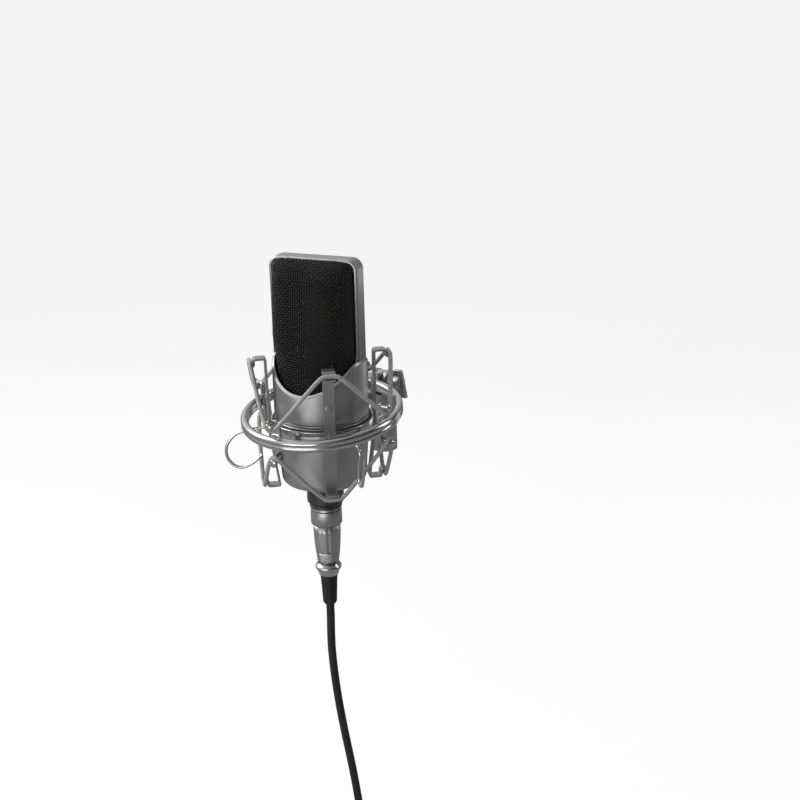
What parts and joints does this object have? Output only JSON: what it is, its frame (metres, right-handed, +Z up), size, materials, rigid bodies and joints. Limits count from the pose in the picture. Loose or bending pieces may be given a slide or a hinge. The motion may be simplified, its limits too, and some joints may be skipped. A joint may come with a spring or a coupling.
{
  "type": "condenser microphone",
  "caption": "Side-address condenser microphone with a woven black grille, held by elastic cords in a round wire shock mount on a swivel, with its plugged-in lead.",
  "frame": {"origin": "centre of the bottom face of the swivel's stand socket, where the stand's thread enters", "axes": "+Z up along the stand, the microphone on the -Y side, the wing knob on the +X side"},
  "size_m": [0.1009, 0.1202, 0.5063],
  "materials": {
    "satin_nickel": "fine satin nickel plate",
    "chrome": "bright nickel plate",
    "dark_metal": "dark grey satin",
    "black_mesh": "black coated woven wire",
    "brass": "turned brass",
    "gold_film": "gold on thin film",
    "black_plastic": "moulded black",
    "circuit_board": "green solder mask",
    "steel": "plain steel",
    "grey_elastic": "braided elastic cord, light grey",
    "black_rubber": "moulded rubber",
    "cable_jacket": "matt black cable jacket",
    "felt": "black felt or woven strap"
  },
  "bodies": {
    "swivel": {"stand_socket": "satin_nickel", "thread_insert": "brass", "pivot_bolt": "steel", "pivot_nut": "chrome", "pivot_washer": "chrome"},
    "wing": {"wing_knob": "chrome"},
    "ring": {"swivel_arm": "chrome", "outer_ring": "chrome", "ring_bracket_front": "chrome", "ring_bracket_right": "chrome", "ring_bracket_rear": "chrome", "ring_bracket_left": "chrome", "upper_elastic": "grey_elastic", "lower_elastic": "grey_elastic"},
    "cradle": {"clamp_band": "chrome", "clamp_liner": "felt", "cradle_post_1": "satin_nickel", "cradle_post_2": "satin_nickel", "cradle_post_3": "satin_nickel", "cradle_post_4": "satin_nickel"},
    "microphone": {"head_frame": "satin_nickel", "front_grille": "black_mesh", "rear_grille": "black_mesh", "capsule_ring": "brass", "capsule_backplate": "brass", "front_diaphragm": "gold_film", "rear_diaphragm": "gold_film", "capsule_saddle": "black_plastic", "capsule_deck": "steel", "upper_body": "satin_nickel", "seam_ring": "satin_nickel", "lower_body": "satin_nickel", "base_plate": "steel", "chassis_rail_left": "steel", "chassis_rail_right": "steel", "circuit_board": "circuit_board", "transformer_can": "steel", "coupling_capacitor": "black_plastic", "base_collar": "dark_metal", "socket_insert": "black_plastic", "contact_pin_1": "brass", "contact_pin_2": "brass", "contact_pin_3": "brass"},
    "pad": {"pad_switch": "black_plastic"},
    "low_cut": {"low_cut_switch": "black_plastic"},
    "left_handle": {"release_handle_left": "chrome"},
    "right_handle": {"release_handle_right": "chrome"},
    "lead": {"plug_sleeve": "satin_nickel", "plug_insert": "black_plastic", "plug_shell": "satin_nickel", "plug_bushing": "chrome", "plug_boot": "black_rubber", "cable_run": "cable_jacket", "cable_coil": "cable_jacket", "coil_tie": "felt", "connector_boot": "black_rubber", "connector_shell": "satin_nickel"},
    "latch": {"latch_button": "satin_nickel"}
  },
  "joints": [
    {"name": "swivel_tilt", "type": "hinge", "parent": "swivel", "child": "ring", "pos_m": [0, 0, 0.044], "axis": [1, 0, 0], "range_deg": [-60, 20]},
    {"name": "wing_turn", "type": "hinge", "parent": "swivel", "child": "wing", "pos_m": [0, 0, 0.044], "axis": [1, 0, 0], "continuous": true},
    {"name": "cradle_bounce", "type": "slide", "parent": "ring", "child": "cradle", "axis": [0, 0, 1], "range_m": [-0.003, 0.003], "stiffness_N_per_m": 5000, "deforming": ["upper_elastic", "lower_elastic"]},
    {"name": "microphone_turn", "type": "hinge", "parent": "cradle", "child": "microphone", "pos_m": [0, -0.06217, 0.04195], "axis": [0, 0, 1], "range_deg": [-90, 90]},
    {"name": "pad_slide", "type": "slide", "parent": "microphone", "child": "pad", "axis": [0, 0, 1], "range_m": [-0.005, 0]},
    {"name": "low_cut_slide", "type": "slide", "parent": "microphone", "child": "low_cut", "axis": [0, 0, 1], "range_m": [-0.005, 0]},
    {"name": "left_handle_squeeze", "type": "hinge", "parent": "cradle", "child": "left_handle", "pos_m": [0, -0.06217, 0.04195], "axis": [0, 0, 1], "range_deg": [0, 7], "stiffness_Nm_per_rad": 0.3},
    {"name": "right_handle_squeeze", "type": "hinge", "parent": "cradle", "child": "right_handle", "pos_m": [0, -0.06217, 0.04195], "axis": [0, 0, 1], "range_deg": [-7, 0], "stiffness_Nm_per_rad": 0.3},
    {"name": "plug_pull", "type": "slide", "parent": "microphone", "child": "lead", "axis": [0, 0, 1], "range_m": [-0.012, 0]},
    {"name": "latch_press", "type": "slide", "parent": "lead", "child": "latch", "axis": [0.6691, -0.7431, 0], "range_m": [0, 0.0008], "stiffness_N_per_m": 800}
  ],
  "couplings": [
    {"joint": "right_handle_squeeze", "follows": "left_handle_squeeze", "ratio": -1}
  ]
}
